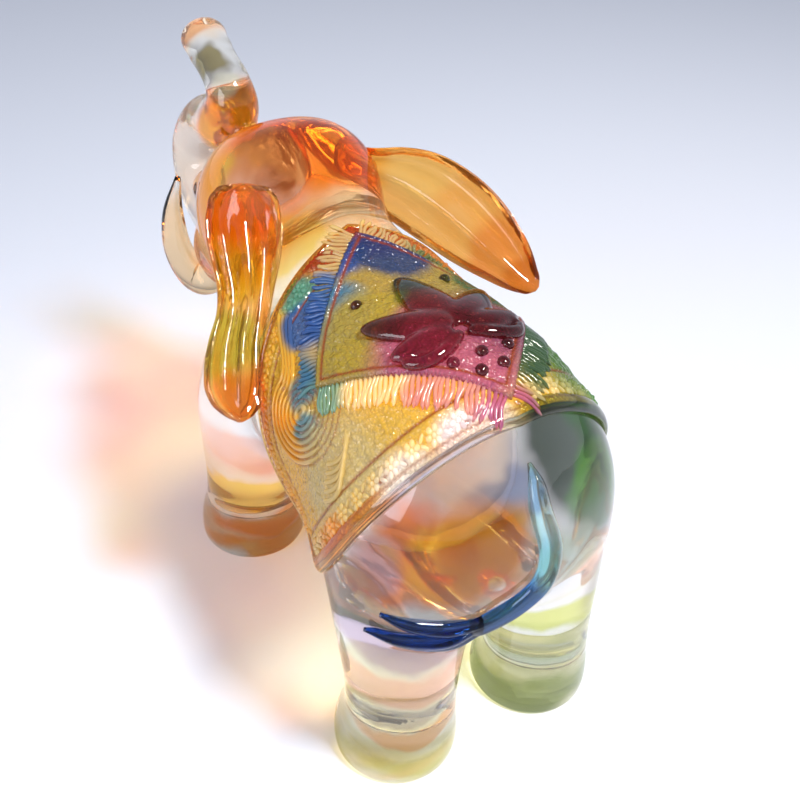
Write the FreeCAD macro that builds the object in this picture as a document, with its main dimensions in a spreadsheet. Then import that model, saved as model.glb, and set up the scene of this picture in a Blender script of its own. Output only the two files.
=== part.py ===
import FreeCAD, Part
import math
import os
from FreeCAD import Placement, Rotation, Vector

# Cast crystal-glass elephant in a draped saddle cloth, trunk raised.
# The elephant faces -Y, its left side is +X, its soles rest on Z = 0, and the origin
# lies on the ground under the middle of the whole figure.  Millimetres throughout.

doc = FreeCAD.newDocument("GlassElephant")
sheet = doc.addObject("Spreadsheet::Sheet", "Sizes")

# Sizes that stand alone.
sizes = {
    "headHalfWidth": 21.5,
    "headHalfLength": 21,
    "headHalfHeight": 23,
    "headY": -31.5,
    "headZ": 90,
    "domeRadius": 15,
    "domeSpread": 6.6,
    "domeRise": 9.6,
    "domeBack": 4.5,
    "eyeRadius": 2.6,
    "eyeForwardAngle": 38,
    "eyeUpAngle": 12,
    "lipHalfWidth": 7,
    "lipHalfLength": 9,
    "lipHalfHeight": 5,
    "lipForward": 13.5,
    "lipDrop": 21,
    "earRootOut": 14.5,
    "earRootBack": 3.5,
    "earRootUp": 12,
    "earAimOut": 0.43,
    "earAimBack": 0.83,
    "earAimUp": -0.35,
    "earBladeOut": 0.66,
    "earBladeUp": 0.75,
    "legStance": 19.3,
    "rearLeftFootY": 61,
    "rearRightFootY": 62,
    "frontLeftFootY": -19,
    "frontRightFootY": -7,
    "nailRadius": 2.9,
    "nailHeight": 3.4,
    "nailThickness": 1.2,
    "nailSink": 0.4,
    "nailBevel": 0.6,
    "nailStep": 30,
    "clothThickness": 1.2,
    "reliefHeight": 0.6,
    "panelThickness": 0.8,
    "emblemHeight": 1.6,
    "rimWidth": 1.4,
    "borderWidth": 4.6,
    "fringeLength": 6,
    "scrollRadius": 5.6,
    "scrollWidth": 2.2,
    "scrollY": 28,
    "scrollDrop": -1,
    "emblemY": 36,
    "petalLength": 12,
    "petalWidth": 5.4,
    "petalReach": 0.9,
    "petalStep": 36,
    "beadRadius": 1.2,
    "beadRise": 1.0,
    "beadSink": 0.15,
    "beadBevel": 0.5,
    "beadRing": 13.5,
    "beadStep": 24,
}

# Sections of the torso from the tail end to the throat: distance back, half-width,
# half-height and height of the middle.
torsoSections = {
    "tailEnd": (78.5, 7, 7.5, 70),
    "buttock": (75, 16.5, 18, 69),
    "haunch": (66, 26, 28.5, 68.5),
    "loin": (53, 31.2, 33, 68.5),
    "flank": (38, 32.6, 34, 68),
    "belly": (20, 32, 34, 68),
    "rib": (2, 29.6, 33.3, 69),
    "shoulder": (-12, 25.5, 30, 72),
    "throat": (-24, 17, 22, 77),
}
# Stations of the trunk from its root in the face to its lips: across, along, up and radius.
trunkStations = {
    "trunkRoot": (0, -44, 83, 14),
    "trunkCheek": (1.5, -59.5, 79.5, 12.4),
    "trunkLow": (3, -71.6, 83.5, 10.4),
    "trunkFront": (3.8, -74.6, 92.5, 9.0),
    "trunkElbow": (3.8, -69, 101, 7.9),
    "trunkRise": (3.2, -59.5, 105.6, 7.0),
    "trunkBack": (3, -54.5, 111.2, 6.2),
    "trunkNeck": (3, -56.8, 117, 5.3),
    "trunkTurn": (3, -63.5, 120.2, 5.0),
    "trunkLips": (3, -70, 124.2, 6.0),
}
# Stations of each limb, from sole to hip: height, radius, and shift towards the middle
# of the body, inwards and along.
legStations = {
    "sole": (0, 13.2, 0, 0),
    "toe": (3, 14.8, 0, 0),
    "ankle": (9, 13.9, 0, 0),
    "shin": (22, 12.6, 0.3, 0.4),
    "knee": (38, 14.2, 1.0, 2.5),
    "hip": (52, 16, 2.4, 5),
    "thigh": (66, 13.5, 5.2, 9),
    "thighTop": (79, 6, 9.5, 12),
}
# Sections of an ear from its root to its lobe: distance along, half-breadth,
# half-thickness, and how far the section sits up and out from the ear's line.
earSections = {
    "earRoot": (0, 8.5, 3.2, -2),
    "earUpper": (9, 13, 3.9, 0.5),
    "earMiddle": (24, 14.5, 4.1, 1.5),
    "earLower": (38, 12.2, 3.6, 0.8),
    "earLobe": (48, 7.4, 2.6, -0.6),
    "earEnd": (52.5, 2.2, 1.1, -1.4),
}
# Stations of a tusk beside the trunk: out from the middle, forward of the head's middle,
# down from it, and radius.
tuskStations = {
    "tuskRoot": (12.5, 8.5, 14.5, 4.6),
    "tuskBase": (17.6, 17.5, 22.4, 4.6),
    "tuskBend": (21.6, 21.6, 15.5, 3.9),
    "tuskShank": (22.4, 21.4, 4, 2.8),
    "tuskTip": (20.4, 20.2, -7, 0.9),
}
# Stations of the tail down the rump and round to the left: across, back from the
# buttock section, up, and radius.
tailStations = {
    "tailRoot": (0.5, -4.5, 88.5, 3.2),
    "tailUpper": (0.9, 1.9, 81, 3.1),
    "tailMiddle": (-1.2, 4.6, 71.5, 2.9),
    "tailLower": (-0.8, 4.3, 62.5, 2.7),
    "tailCurl": (4.2, 3, 56.2, 2.6),
    "tuftRoot": (10.5, 0.9, 52.6, 2.9),
    "tuftMiddle": (18, -1.6, 51.6, 3.4),
    "tuftSwell": (25, -4.8, 53.4, 3.0),
    "tuftEnd": (30.5, -8.6, 56, 1.0),
}
# Side outline of the cloth from its front corner down to its point and up to its rear
# corner: distance along, and drop below the middle of the torso (negative is above).
clothOutline = {
    "clothFront": (0.5, -34.5),
    "clothCollar": (5.5, -25),
    "clothShoulder": (7.5, -8),
    "clothBend": (14, 2),
    "clothPoint": (49.5, 13.5),
    "clothFlare": (57, -2),
    "clothHip": (61.5, -15),
    "clothRear": (65.5, -28),
}
# The same for the small panel laid over the cloth.
panelOutline = {
    "panelFront": (2.5, -34),
    "panelCorner": (30, -19.5),
    "panelRear": (62.5, -29),
}

row = 0


def addCell(alias, value):
    """Put one named size in the sheet."""
    global row
    row += 1
    sheet.set(f"A{row}", alias)
    sheet.set(f"B{row}", str(value))
    sheet.setAlias(f"B{row}", alias)


def addTable(table, fields):
    for name, values in table.items():
        for field, value in zip(fields, values):
            addCell(name + field, value)


for name, value in sizes.items():
    addCell(name, value)
addTable(torsoSections, ("Along", "Wide", "Tall", "Up"))
addTable(trunkStations, ("Across", "Along", "Up", "Radius"))
addTable(legStations, ("Up", "Radius", "In", "Lean"))
addTable(earSections, ("Along", "Broad", "Thick", "Shift"))
addTable(tuskStations, ("Out", "Forward", "Down", "Radius"))
addTable(tailStations, ("Across", "Back", "Up", "Radius"))
addTable(clothOutline, ("Along", "Drop"))
addTable(panelOutline, ("Along", "Drop"))
doc.recompute()


def size(alias):
    return float(sheet.get(alias))


def boolean(kind, name, base, tool):
    obj = doc.addObject("Part::" + kind, name)
    obj.Base = base
    obj.Tool = tool
    obj.Refine = False
    return obj


def cutAll(name, base, tools):
    """Cut several tools from a base one after another; the last result carries the name."""
    for count, tool in enumerate(tools):
        last = count == len(tools) - 1
        base = boolean("Cut", name if last else f"{name}Cut{count}", base, tool)
    return base


def ellipsoid(name, radii, centre, rotation=Rotation()):
    """Ellipsoid whose half-axes along X, Y and Z are sheet expressions."""
    obj = doc.addObject("Part::Ellipsoid", name)
    for prop, text in zip(("Radius2", "Radius3", "Radius1"), radii):
        obj.setExpression(prop, text)
    obj.Angle1 = -90
    obj.Angle2 = 90
    obj.Angle3 = 360
    obj.Placement = Placement(centre, rotation)
    return obj


def cell(alias):
    return "Sizes." + alias


def loft(name, sections):
    obj = doc.addObject("Part::Loft", name)
    obj.Sections = sections
    obj.Solid = True
    obj.Ruled = False
    return obj


def tube(name, points, radii):
    """Loft of round sections square to the line through the points."""
    rings = []
    for index, point in enumerate(points):
        before = points[max(index - 1, 0)]
        after = points[min(index + 1, len(points) - 1)]
        ring = doc.addObject("Part::Circle", f"{name}Ring{index}")
        ring.setExpression("Radius", radii[index])
        ring.Placement = Placement(point, Rotation(Vector(0, 0, 1), after - before))
        rings.append(ring)
    return loft(name, rings)


# Torso and the layers that follow it.
sectionPoints = 16


def ovalWire(name, wide, tall, placement):
    """Closed smooth oval in its own XZ plane; either axis may be the longer one."""
    points = []
    for step in range(sectionPoints):
        angle = 2 * math.pi * step / sectionPoints
        points.append(Vector(wide * math.cos(angle), 0, tall * math.sin(angle)))
    curve = Part.BSplineCurve()
    curve.interpolate(points, PeriodicFlag=True)
    wire = doc.addObject("Part::Feature", name)
    wire.Shape = Part.Wire(curve.toShape())
    wire.Placement = placement
    return wire


def torsoLayer(name, lift):
    """Solid torso swollen by a lift, through oval sections square to Y."""
    wires = []
    for station in torsoSections:
        middle = Vector(0, size(station + "Along"), size(station + "Up"))
        wires.append(
            ovalWire(
                name + station.capitalize(),
                size(station + "Wide") + lift,
                size(station + "Tall") + lift,
                Placement(middle, Rotation()),
            )
        )
    return loft(name, wires)


clothLift = size("clothThickness")
reliefLift = clothLift + size("reliefHeight")
panelLift = clothLift + size("panelThickness")
emblemLift = panelLift + size("emblemHeight")
torso = torsoLayer("torso", 0)
clothLayer = torsoLayer("clothLayer", clothLift)
reliefLayer = torsoLayer("reliefLayer", reliefLift)
panelLayer = torsoLayer("panelLayer", panelLift)
emblemLayer = torsoLayer("emblemLayer", emblemLift)
clothShell = boolean("Cut", "clothShell", clothLayer, torso)
reliefShell = boolean("Cut", "reliefShell", reliefLayer, clothLayer)
rimShell = boolean("Cut", "rimShell", reliefLayer, torso)
panelShell = boolean("Cut", "panelShell", panelLayer, clothLayer)
emblemShell = boolean("Cut", "emblemShell", emblemLayer, panelLayer)

# Cloth, cut out by outlines seen from the side.
beyond = 30  # how far cutting tools reach past the figure
middleUp = size("flankUp")
farUp = middleUp + size("flankTall") + beyond
farOut = size("flankWide") + beyond


def sideOutline(name, table):
    """Closed outline in the YZ plane, open upwards past the back."""
    corners = [
        Vector(0, size(corner + "Along"), middleUp - size(corner + "Drop")) for corner in table
    ]
    first, last = corners[0], corners[-1]
    corners.append(Vector(0, last.y, farUp))
    corners.append(Vector(0, first.y, farUp))
    obj = doc.addObject("Part::Polygon", name)
    obj.Nodes = corners
    obj.Close = True
    return obj


def grown(name, outline, expression):
    obj = doc.addObject("Part::Offset2D", name)
    obj.Source = outline
    obj.Join = 2
    obj.Fill = False
    obj.setExpression("Value", expression)
    return obj


def sidePrism(name, outline):
    """The outline drawn out along X through the whole torso."""
    obj = doc.addObject("Part::Extrusion", name)
    obj.Base = outline
    obj.DirMode = "Custom"
    obj.Dir = Vector(1, 0, 0)
    obj.LengthFwd = farOut
    obj.LengthRev = farOut
    obj.Solid = True
    return obj


clothEdge = sideOutline("clothEdge", clothOutline)
rimEdge = grown("rimEdge", clothEdge, "Sizes.rimWidth")
fieldEdge = grown("fieldEdge", clothEdge, "-Sizes.borderWidth")
panelEdge = sideOutline("panelEdge", panelOutline)
fringeEdge = grown("fringeEdge", panelEdge, "Sizes.fringeLength")
clothPrism = sidePrism("clothPrism", clothEdge)
rimPrism = sidePrism("rimPrism", rimEdge)
fieldPrism = sidePrism("fieldPrism", fieldEdge)
panelPrism = sidePrism("panelPrism", panelEdge)
fringePrism = sidePrism("fringePrism", fringeEdge)

# Everything the draped cloth takes up, for the members that it lies against.
drape = boolean("Common", "drape", rimPrism, reliefLayer)
boolean("Common", "saddle_cloth", clothShell, clothPrism)
rimBand = boolean("Cut", "rimBand", rimPrism, clothPrism)
boolean("Common", "cloth_piping", rimShell, rimBand)
borderBand = boolean("Cut", "borderBand", clothPrism, fieldPrism)
borderFree = boolean("Cut", "borderFree", borderBand, fringePrism)
boolean("Common", "cloth_border", reliefShell, borderFree)
boolean("Common", "upper_panel", panelShell, panelPrism)
fringeBand = boolean("Cut", "fringeBand", fringePrism, panelPrism)
fringeOnCloth = boolean("Common", "fringeOnCloth", fringeBand, clothPrism)
boolean("Common", "panel_fringe", reliefShell, fringeOnCloth)

# Scroll medallion on each flank: a ring in the relief, between the border and the fringe.
scrollCentre = Vector(-farOut, size("scrollY"), middleUp + size("scrollDrop"))
alongX = Rotation(Vector(0, 0, 1), Vector(1, 0, 0))


def scrollDrum(name, expression):
    drum = doc.addObject("Part::Cylinder", name)
    drum.setExpression("Radius", expression)
    drum.Height = 2 * farOut
    drum.Placement = Placement(scrollCentre, alongX)
    return drum


scrollOuter = scrollDrum("scrollOuter", "Sizes.scrollRadius")
scrollInner = scrollDrum("scrollInner", "Sizes.scrollRadius - Sizes.scrollWidth")
scrollTube = boolean("Cut", "scrollTube", scrollOuter, scrollInner)
scrollField = boolean("Common", "scrollField", scrollTube, fieldPrism)
scrollFree = boolean("Cut", "scrollFree", scrollField, fringePrism)
boolean("Common", "scroll_medallions", reliefShell, scrollFree)

# Lotus emblem on the panel: a fan of petals round a common foot.
petalCount = 5
emblemFoot = Vector(0, size("emblemY") + size("petalLength") / 2, 0)
petals = []
for index in range(petalCount):
    turn = (index - (petalCount - 1) / 2) * size("petalStep")
    aim = Vector(math.sin(math.radians(turn)), -math.cos(math.radians(turn)), 0)
    outline = doc.addObject("Part::Ellipse", f"petalOutline{index}")
    outline.setExpression("MajorRadius", "Sizes.petalLength")
    outline.setExpression("MinorRadius", "min(Sizes.petalWidth, Sizes.petalLength)")
    outline.Placement = Placement(
        emblemFoot + aim * size("petalLength") * size("petalReach"),
        Rotation(Vector(0, 0, 1), turn - 90),
    )
    petal = doc.addObject("Part::Extrusion", f"petal{index}")
    petal.Base = outline
    petal.DirMode = "Custom"
    petal.Dir = Vector(0, 0, 1)
    petal.LengthFwd = farUp
    petal.Solid = True
    petals.append(petal)
flower = doc.addObject("Part::MultiFuse", "flower")
flower.Shapes = petals
upperHalf = doc.addObject("Part::Box", "upperHalf")
upperHalf.Length = 2 * farOut
upperHalf.Width = 2 * farOut
upperHalf.Height = farUp
upperHalf.Placement = Placement(
    Vector(-farOut, size("emblemY") - farOut, middleUp), Rotation()
)
flowerUp = boolean("Common", "flowerUp", flower, upperHalf)
boolean("Common", "lotus_emblem", emblemShell, flowerUp)

# Round drops of glass in an arc behind the flower, each seated on the panel below it.
beadCount = 5
beads = []
doc.recompute()
for index in range(beadCount):
    turn = math.radians((index - (beadCount - 1) / 2) * size("beadStep"))
    across = size("beadRing") * math.sin(turn)
    along = emblemFoot.y + size("beadRing") * math.cos(turn) - size("petalLength") / 2
    plumb = Part.makeLine(Vector(across, along, middleUp), Vector(across, along, farUp))
    up = panelLayer.Shape.common(plumb).BoundBox.ZMax - size("beadSink")
    bead = doc.addObject("Part::Cone", f"bead{index}")
    bead.setExpression("Radius1", "Sizes.beadRadius")
    bead.setExpression("Radius2", "Sizes.beadRadius - Sizes.beadBevel")
    bead.setExpression("Height", "Sizes.beadSink + Sizes.beadRise")
    bead.Placement = Placement(Vector(across, along, up), Rotation())
    beads.append(bead)
drops = doc.addObject("Part::Compound", "panel_drops")
drops.Links = beads

# Head, with its two domes, set against the front of the torso.
headCentre = Vector(0, size("headY"), size("headZ"))
skull = ellipsoid(
    "skull",
    (cell("headHalfWidth"), cell("headHalfLength"), cell("headHalfHeight")),
    headCentre,
)
domes = []
for side, label in ((1, "Left"), (-1, "Right")):
    dome = doc.addObject("Part::Sphere", "dome" + label)
    dome.setExpression("Radius", "Sizes.domeRadius")
    dome.Placement = Placement(
        headCentre + Vector(side * size("domeSpread"), size("domeBack"), size("domeRise")),
        Rotation(),
    )
    domes.append(dome)
wholeHead = doc.addObject("Part::MultiFuse", "wholeHead")
wholeHead.Shapes = [skull] + domes
boolean("Cut", "head", wholeHead, torso)

# Trunk in three lengths that meet at shared rings.


def trunkLength(name, stations):
    names = list(trunkStations)
    line = [
        Vector(size(s + "Across"), size(s + "Along"), size(s + "Up")) for s in names
    ]
    rings = []
    for station in stations:
        at = names.index(station)
        ring = doc.addObject("Part::Circle", name + station.capitalize())
        ring.setExpression("Radius", cell(station + "Radius"))
        course = line[min(at + 1, len(line) - 1)] - line[max(at - 1, 0)]
        ring.Placement = Placement(line[at], Rotation(Vector(0, 0, 1), course))
        rings.append(ring)
    return loft(name, rings)


names = list(trunkStations)
trunkBaseWhole = trunkLength("trunkBaseWhole", names[0:4])
boolean("Cut", "trunk_base", trunkBaseWhole, wholeHead)
trunkRiserWhole = trunkLength("trunkRiserWhole", names[3:8])
boolean("Cut", "trunk_riser", trunkRiserWhole, wholeHead)
trunkLength("trunk_tip", names[7:10])

# Mouth and eyes.
lipWhole = ellipsoid(
    "lipWhole",
    (cell("lipHalfWidth"), cell("lipHalfLength"), cell("lipHalfHeight")),
    headCentre - Vector(0, size("lipForward"), size("lipDrop")),
)
cutAll("lower_lip", lipWhole, [wholeHead, trunkBaseWhole, torso])

eyeTurn = math.radians(size("eyeForwardAngle"))
eyeLift = math.radians(size("eyeUpAngle"))
for side, label in ((1, "left"), (-1, "right")):
    spot = headCentre + Vector(
        side * size("headHalfWidth") * math.cos(eyeTurn) * math.cos(eyeLift),
        -size("headHalfLength") * math.sin(eyeTurn) * math.cos(eyeLift),
        size("headHalfHeight") * math.sin(eyeLift),
    )
    ball = doc.addObject("Part::Sphere", "eyeBall" + label)
    ball.setExpression("Radius", "Sizes.eyeRadius")
    ball.Placement = Placement(spot, Rotation())
    cutAll("eye_" + label, ball, [wholeHead, trunkBaseWhole])

# Tusks.
for side, label in ((1, "left"), (-1, "right")):
    points = [
        headCentre
        + Vector(side * size(s + "Out"), -size(s + "Forward"), -size(s + "Down"))
        for s in tuskStations
    ]
    whole = tube("tuskWhole" + label, points, [cell(s + "Radius") for s in tuskStations])
    cutAll(
        "tusk_" + label, whole, [wholeHead, trunkBaseWhole, lipWhole, torso]
    )

# Ears: broad leaves rooted on the side of the head and swept back.
for side, label in ((1, "left"), (-1, "right")):
    root = headCentre + Vector(
        side * size("earRootOut"), size("earRootBack"), size("earRootUp")
    )
    lengthways = Vector(side * size("earAimOut"), size("earAimBack"), size("earAimUp")).normalize()
    outwards = Vector(side * size("earBladeOut"), 0, size("earBladeUp"))
    facing = outwards.cross(lengthways).normalize()
    outwards = lengthways.cross(facing)
    rotation = Rotation(outwards, lengthways, facing * -1, "XYZ")
    wires = []
    for section in earSections:
        middle = root + lengthways * size(section + "Along") + outwards * size(section + "Shift")
        wires.append(
            ovalWire(
                f"{section}{label}",
                size(section + "Broad"),
                size(section + "Thick"),
                Placement(middle, rotation),
            )
        )
    leaf = loft("earLeaf" + label, wires)
    cutAll("ear_" + label, leaf, [wholeHead, torso, drape])

# Legs, each with its toenails.
bodyMiddleY = (size("haunchAlong") + size("shoulderAlong")) / 2
nailCount = 4
legs = []
for place, footY in (
    ("rear_left", "rearLeftFootY"),
    ("rear_right", "rearRightFootY"),
    ("front_left", "frontLeftFootY"),
    ("front_right", "frontRightFootY"),
):
    side = 1 if place.endswith("left") else -1
    toMiddle = -1 if size(footY) > bodyMiddleY else 1
    points = []
    for s in legStations:
        points.append(
            Vector(
                side * (size("legStance") - size(s + "In")),
                size(footY) + toMiddle * size(s + "Lean"),
                size(s + "Up"),
            )
        )
    rings = []
    for station, point in zip(legStations, points):
        ring = doc.addObject("Part::Circle", place + station.capitalize())
        ring.setExpression("Radius", cell(station + "Radius"))
        ring.Placement = Placement(point, Rotation())
        rings.append(ring)
    whole = loft("legWhole_" + place, rings)
    legs.append(cutAll("leg_" + place, whole, [drape, torso]))
    nails = []
    for index in range(nailCount):
        turn = math.radians((index - (nailCount - 1) / 2) * size("nailStep"))
        outwards = Vector(math.sin(turn), -math.cos(turn), 0)
        spot = points[1] + outwards * (size("toeRadius") - size("nailSink"))
        spot.z = size("nailHeight")
        disc = doc.addObject("Part::Cone", f"nail_{place}{index}")
        disc.setExpression("Radius1", "Sizes.nailRadius")
        disc.setExpression("Radius2", "Sizes.nailRadius - Sizes.nailBevel")
        disc.setExpression("Height", "Sizes.nailSink + Sizes.nailThickness")
        disc.Placement = Placement(spot, Rotation(Vector(0, 0, 1), outwards))
        nails.append(disc)
    nailSet = doc.addObject("Part::Compound", "toenails_" + place)
    nailSet.Links = nails

# Tail, laid down the rump with its tuft curled to the left.
tailNames = list(tailStations)
tailLine = [
    Vector(size(s + "Across"), size("buttockAlong") + size(s + "Back"), size(s + "Up"))
    for s in tailNames
]


def tailLength(name, first, last):
    rings = []
    for at in range(first, last + 1):
        ring = doc.addObject("Part::Circle", f"{name}{tailNames[at]}")
        ring.setExpression("Radius", cell(tailNames[at] + "Radius"))
        course = tailLine[min(at + 1, len(tailLine) - 1)] - tailLine[max(at - 1, 0)]
        ring.Placement = Placement(tailLine[at], Rotation(Vector(0, 0, -1), course))
        rings.append(ring)
    return loft(name, rings)


rearLegs = [leg for leg in legs if leg.Name.startswith("leg_rear")]
cutAll("tail", tailLength("tailWhole", 0, 5), [torso, drape] + rearLegs)
cutAll("tail_tuft", tailLength("tuftWhole", 5, 8), [torso] + rearLegs)

# Check and write.
doc.recompute()
nodes = [
    "torso", "head", "trunk_base", "trunk_riser", "trunk_tip", "lower_lip",
    "eye_left", "eye_right", "tusk_left", "tusk_right", "ear_left", "ear_right",
    "leg_front_left", "leg_front_right", "leg_rear_left", "leg_rear_right",
    "toenails_front_left", "toenails_front_right", "toenails_rear_left",
    "toenails_rear_right", "tail", "tail_tuft", "saddle_cloth", "cloth_piping",
    "cloth_border", "upper_panel", "panel_fringe", "scroll_medallions",
    "lotus_emblem", "panel_drops",
]
for obj in doc.Objects:
    if "Invalid" in obj.State or "Error" in obj.State:
        raise RuntimeError(f"{obj.Name} failed: {obj.State}")
for name in nodes:
    shape = doc.getObject(name).Shape
    if shape.isNull() or not shape.isValid():
        raise RuntimeError(f"{name} has no valid shape")
os.makedirs("parts", exist_ok=True)
for name in nodes:
    obj = doc.getObject(name)
    obj.Shape.exportStep(f"parts/{name}.step")
    box = obj.Shape.BoundBox
    print(
        f"{name:22s} solids {len(obj.Shape.Solids)} volume {obj.Shape.Volume:9.1f}"
        f"  x {box.XMin:6.1f} {box.XMax:6.1f}  y {box.YMin:6.1f} {box.YMax:6.1f}"
        f"  z {box.ZMin:6.1f} {box.ZMax:6.1f}"
    )
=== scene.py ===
import math
import bpy
import numpy as np
import openvdb
from mathutils import Matrix, Vector


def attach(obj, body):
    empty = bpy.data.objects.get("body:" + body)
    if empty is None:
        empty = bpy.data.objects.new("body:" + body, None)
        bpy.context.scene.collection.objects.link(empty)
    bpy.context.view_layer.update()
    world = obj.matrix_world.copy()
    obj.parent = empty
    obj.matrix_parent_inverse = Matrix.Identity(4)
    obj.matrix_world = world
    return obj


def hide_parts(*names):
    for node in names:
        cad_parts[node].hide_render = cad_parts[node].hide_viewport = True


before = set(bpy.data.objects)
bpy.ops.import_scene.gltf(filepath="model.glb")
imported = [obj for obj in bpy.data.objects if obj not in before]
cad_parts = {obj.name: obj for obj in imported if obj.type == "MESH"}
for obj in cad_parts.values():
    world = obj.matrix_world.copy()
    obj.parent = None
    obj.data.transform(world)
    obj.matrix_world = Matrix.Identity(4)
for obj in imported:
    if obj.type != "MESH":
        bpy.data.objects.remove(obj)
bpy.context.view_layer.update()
rng = np.random.default_rng(29)
print("frame loaded")

mm = 0.001


# Shapes are worked out as distance fields in millimetres: below zero is glass.
def smoothMin(a, b, k):
    h = np.clip(0.5 + 0.5 * (b - a) / k, 0, 1)
    return b * (1 - h) + a * h - k * h * (1 - h)


def ovalField(a, b, c, radii):
    # close to the distance from an oval's skin, and exact on the skin itself
    near = np.sqrt((a / radii[0]) ** 2 + (b / radii[1]) ** 2 + (c / radii[2]) ** 2)
    far = np.sqrt((a / radii[0] ** 2) ** 2 + (b / radii[1] ** 2) ** 2 + (c / radii[2] ** 2) ** 2)
    return near * (near - 1) / np.maximum(far, 1e-6)


def oval(centre, radii, tilt=0):
    c, s = math.cos(math.radians(tilt)), math.sin(math.radians(tilt))

    def distance(x, y, z):
        dx, dy, dz = x - centre[0], y - centre[1], z - centre[2]
        dy, dz = dy * c + dz * s, dz * c - dy * s  # tilt lifts the front of the oval
        return ovalField(dx, dy, dz, radii)

    reach = max(radii)
    return distance, np.array(centre) - reach, np.array(centre) + reach


def throughPoints(points, steps):
    # Catmull-Rom curve; each point may carry a radius as its last number
    q = np.array(points, float)
    q = np.vstack([2 * q[0] - q[1], q, 2 * q[-1] - q[-2]])
    out = []
    for i in range(1, len(q) - 2):
        for t in np.linspace(0, 1, steps, endpoint=False):
            w = 0.5 * np.array(
                [-t + 2 * t**2 - t**3, 2 - 5 * t**2 + 3 * t**3, t + 4 * t**2 - 3 * t**3, t**3 - t**2]
            )
            out.append(w @ q[i - 1 : i + 3])
    out.append(q[-2])
    return np.array(out)


def limb(stations, steps=4, k=1.5):
    line = throughPoints(stations, steps)

    def distance(x, y, z):
        whole = None
        for a, b in zip(line[:-1], line[1:]):
            d = b[:3] - a[:3]
            px, py, pz = x - a[0], y - a[1], z - a[2]
            t = np.clip((px * d[0] + py * d[1] + pz * d[2]) / (d @ d), 0, 1)
            length = np.sqrt((px - t * d[0]) ** 2 + (py - t * d[1]) ** 2 + (pz - t * d[2]) ** 2)
            part = length - (a[3] + (b[3] - a[3]) * t)
            whole = part if whole is None else smoothMin(whole, part, k)
        return whole

    reach = line[:, 3:4]
    return distance, (line[:, :3] - reach).min(0), (line[:, :3] + reach).max(0)


class Clay:
    # A lump of wax that ovals and limbs are pressed on to, each with its own fillet
    def __init__(self, low, high):
        self.low, self.high = np.array(low, float), np.array(high, float)
        self.parts = []

    def add(self, shape, fillet, cut=False):
        distance, low, high = shape
        margin = fillet + 3
        self.parts.append((distance, low - margin, high + margin, fillet, cut))

    def at(self, points):
        x, y, z = points[:, 0], points[:, 1], points[:, 2]
        field = np.full(len(points), 30.0)
        for distance, low, high, fillet, cut in self.parts:
            near = np.all((points > low) & (points < high), axis=1)
            if near.any():
                d = distance(x[near], y[near], z[near])
                if cut:
                    field[near] = -smoothMin(-field[near], d, fillet)
                else:
                    field[near] = smoothMin(field[near], d, fillet)
        return field

    def mesh(self, name, step):
        shape = np.ceil((self.high - self.low) / step).astype(int)
        axes = [self.low[i] + step * np.arange(shape[i]) for i in range(3)]
        field = np.full(shape, 30.0, np.float32)
        for distance, low, high, fillet, cut in self.parts:
            span = []
            for i in range(3):
                first = int(np.clip(np.floor((low[i] - self.low[i]) / step), 0, shape[i]))
                last = int(np.clip(np.ceil((high[i] - self.low[i]) / step), 0, shape[i]))
                span.append(slice(first, last))
            x = axes[0][span[0]].astype(np.float32)[:, None, None]
            y = axes[1][span[1]].astype(np.float32)[None, :, None]
            z = axes[2][span[2]].astype(np.float32)[None, None, :]
            d = distance(x, y, z)
            here = field[span[0], span[1], span[2]]
            if cut:
                here[:] = -smoothMin(-here, d, fillet)
            else:
                here[:] = smoothMin(here, d, fillet)
        grid = openvdb.FloatGrid(3.0)
        grid.copyFromArray(np.clip(field, -3, 3).astype(np.float32), tolerance=0.0)
        points, quads = grid.convertToQuads(isovalue=0.0)
        points = points * step + self.low
        for _ in range(2):  # slide each corner on to the true surface
            field = self.at(points)
            slope = np.stack(
                [self.at(points + np.eye(3)[i] * 0.2) - field for i in range(3)], 1
            )
            slope /= np.maximum(np.linalg.norm(slope, axis=1, keepdims=True), 1e-9)
            points = points - slope * np.clip(field, -0.4, 0.4)[:, None]
        return addMesh(name, points, facingOut(points, quads.tolist()))


def facingOut(points, faces):
    # turns every face round if the skin holds a negative volume
    p = np.asarray(points)
    q = np.array([f[:3] for f in faces])
    r = np.array([(f[0], f[-2], f[-1]) for f in faces if len(f) > 3])
    inside = np.einsum("ij,ij->", p[q[:, 0]], np.cross(p[q[:, 1]], p[q[:, 2]]))
    if len(r):
        inside += np.einsum("ij,ij->", p[r[:, 0]], np.cross(p[r[:, 1]], p[r[:, 2]]))
    return faces if inside > 0 else [f[::-1] for f in faces]


def addMesh(name, points, faces):
    mesh = bpy.data.meshes.new(name)
    mesh.from_pydata((np.asarray(points) * mm).tolist(), [], [list(map(int, f)) for f in faces])
    mesh.update()
    mesh.polygons.foreach_set("use_smooth", np.ones(len(mesh.polygons), bool))
    piece = bpy.data.objects.new(name, mesh)
    bpy.context.scene.collection.objects.link(piece)
    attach(piece, "root")
    return piece


def joinSkins(skins):
    points, faces, start = [], [], 0
    for p, f in skins:
        points.append(p)
        faces += [[i + start for i in face] for face in f]
        start += len(p)
    return np.vstack(points), faces


def ringSkin(rings, loop=False):
    # Closed skin over a stack of equal rings, with a pole at each end unless it loops
    rings = np.asarray(rings, float)
    count, around = rings.shape[:2]
    points = rings.reshape(-1, 3)
    faces = []
    for i in range(count if loop else count - 1):
        a, b = i * around, ((i + 1) % count) * around
        for j in range(around):
            k = (j + 1) % around
            faces.append([a + j, a + k, b + k, b + j])
    if not loop:
        low, high = len(points), len(points) + 1
        points = np.vstack([points, rings[0].mean(0), rings[-1].mean(0)])
        last = (count - 1) * around
        for j in range(around):
            k = (j + 1) % around
            faces.append([low, k, j])
            faces.append([high, last + j, last + k])
    return points, facingOut(points, faces)


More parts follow.
